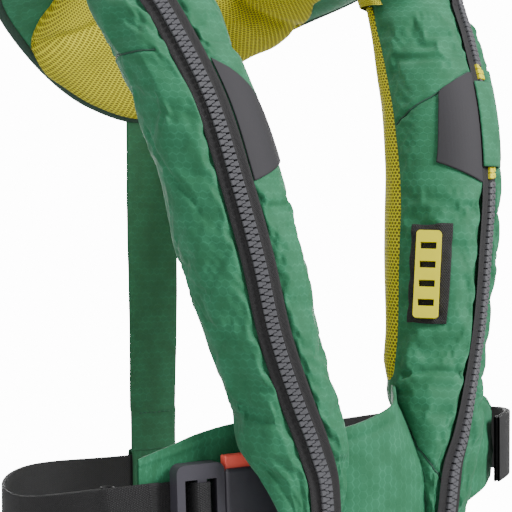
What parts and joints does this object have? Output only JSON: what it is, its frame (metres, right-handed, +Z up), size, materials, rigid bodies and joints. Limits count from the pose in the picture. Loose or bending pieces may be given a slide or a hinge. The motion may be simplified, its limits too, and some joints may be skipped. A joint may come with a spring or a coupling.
{
  "type": "inflatable life jacket",
  "caption": "Slim twin-lobe inflatable life jacket with zipped honeycomb cover, mesh lining, padded collar, back strap and waist belt with side-release buckle.",
  "frame": {"origin": "centre of the waist belt's loop", "axes": "+Z up, the wearer faces -Y, +X to the wearer's left"},
  "size_m": [0.3075, 0.253, 0.4039],
  "materials": {
    "shell_fabric": "matt honeycomb ripstop",
    "mesh_lining": "spacer mesh",
    "edge_binding": "bound edge",
    "zip_tape": "woven tape",
    "zip_teeth": "moulded teeth",
    "weak_teeth": "moulded teeth",
    "reflective": "reflective coated cloth",
    "webbing": "ribbed webbing",
    "buckle_plastic": "moulded",
    "release_red": "moulded",
    "strip_yellow": "moulded",
    "zip_metal": "plated",
    "bladder_cloth": "coated cloth",
    "cylinder_steel": "plated steel",
    "inflator_plastic": "moulded",
    "capsule_plastic": "moulded",
    "pin_steel": "ground",
    "oral_plastic": "moulded",
    "whistle_plastic": "moulded"
  },
  "bodies": {
    "vest": {"right_lobe_cover": "shell_fabric", "left_lobe_cover": "shell_fabric", "collar_cover": "shell_fabric", "right_lobe_lining": "mesh_lining", "left_lobe_lining": "mesh_lining", "collar_lining": "mesh_lining", "yoke_binding": "edge_binding", "right_zip_tape": "zip_tape", "left_zip_tape": "zip_tape", "collar_zip_tape": "zip_tape", "right_zip_chain": "zip_teeth", "collar_zip_chain": "zip_teeth", "left_zip_chain": "zip_teeth", "burst_point_teeth": "weak_teeth", "right_reflector": "reflective", "left_reflector": "reflective", "centre_panel": "shell_fabric", "right_wing": "shell_fabric", "left_wing": "shell_fabric", "back_strap": "shell_fabric", "belt_back": "webbing", "belt_left_tab": "webbing", "strap_loop": "shell_fabric", "buckle_anchor": "webbing", "buckle_female": "buckle_plastic", "accessory_strip": "strip_yellow", "strip_backing": "webbing", "inflator_body": "inflator_plastic", "firing_capsule": "capsule_plastic", "status_indicator": "capsule_plastic", "gas_cylinder": "cylinder_steel", "right_bladder": "bladder_cloth", "left_bladder": "bladder_cloth", "collar_bladder": "bladder_cloth", "oral_tube": "oral_plastic", "whistle": "whistle_plastic"},
    "buckle_male": {"buckle_male": "buckle_plastic", "buckle_webbing": "webbing", "belt_front": "webbing", "belt_tail": "webbing"},
    "upper_button": {"release_button_upper": "release_red"},
    "lower_button": {"release_button_lower": "release_red"},
    "burst_flap": {"burst_flap": "shell_fabric"},
    "right_slider": {"right_zip_slider": "zip_metal"},
    "left_slider": {"left_zip_slider": "zip_metal"},
    "right_pull": {"right_pull_tab": "zip_metal"},
    "left_pull": {"left_pull_tab": "zip_metal"},
    "lever": {"manual_lever": "inflator_plastic"},
    "piercing_pin": {"piercing_pin": "pin_steel"},
    "oral_valve": {"oral_valve": "oral_plastic"},
    "oral_cap": {"oral_cap": "oral_plastic"}
  },
  "joints": [
    {"name": "buckle_release_slide", "type": "slide", "parent": "vest", "child": "buckle_male", "axis": [-0.9911, 0.13, -0.03], "range_m": [0, 0.045]},
    {"name": "upper_button_press", "type": "slide", "parent": "buckle_male", "child": "upper_button", "axis": [0.0297, -0.0039, -0.9995], "range_m": [0, 0.0025], "stiffness_N_per_m": 700},
    {"name": "lower_button_press", "type": "slide", "parent": "buckle_male", "child": "lower_button", "axis": [-0.0297, 0.0039, 0.9995], "range_m": [0, 0.0025], "stiffness_N_per_m": 700},
    {"name": "burst_flap_hinge", "type": "hinge", "parent": "vest", "child": "burst_flap", "pos_m": [0.0825, -0.1006, 0.216], "axis": [-0.1642, -0.346, -0.9237], "range_deg": [0, 100]},
    {"name": "right_zip_slide", "type": "slide", "parent": "vest", "child": "right_slider", "axis": [-0.0586, -0.1017, 0.9931], "range_m": [0, 0.012]},
    {"name": "right_pull_swing", "type": "hinge", "parent": "right_slider", "child": "right_pull", "pos_m": [-0.0376, -0.12926, -0.03142], "axis": [-0.9883, 0.146, -0.0433], "range_deg": [0, 140]},
    {"name": "left_zip_slide", "type": "slide", "parent": "vest", "child": "left_slider", "axis": [0.0586, -0.1017, 0.9931], "range_m": [0, 0.012]},
    {"name": "left_pull_swing", "type": "hinge", "parent": "left_slider", "child": "left_pull", "pos_m": [0.0376, -0.12926, -0.03142], "axis": [-0.9883, -0.146, 0.0433], "range_deg": [0, 140]},
    {"name": "lever_swing", "type": "hinge", "parent": "vest", "child": "lever", "pos_m": [0.05805, -0.10249, 0.03262], "axis": [0.4202, -0.9, 0.1162], "range_deg": [0, 80]},
    {"name": "pin_slide", "type": "slide", "parent": "vest", "child": "piercing_pin", "axis": [0.1757, 0.2063, 0.9626], "range_m": [0, 0.004]},
    {"name": "oral_valve_press", "type": "slide", "parent": "vest", "child": "oral_valve", "axis": [0.1757, -0.1838, -0.9671], "range_m": [0, 0.003], "stiffness_N_per_m": 300},
    {"name": "oral_cap_pull", "type": "slide", "parent": "vest", "child": "oral_cap", "axis": [-0.1757, 0.1838, 0.9671], "range_m": [0, 0.012]}
  ],
  "couplings": [
    {"joint": "pin_slide", "follows": "lever_swing", "m_per_rad": 0.002862}
  ]
}
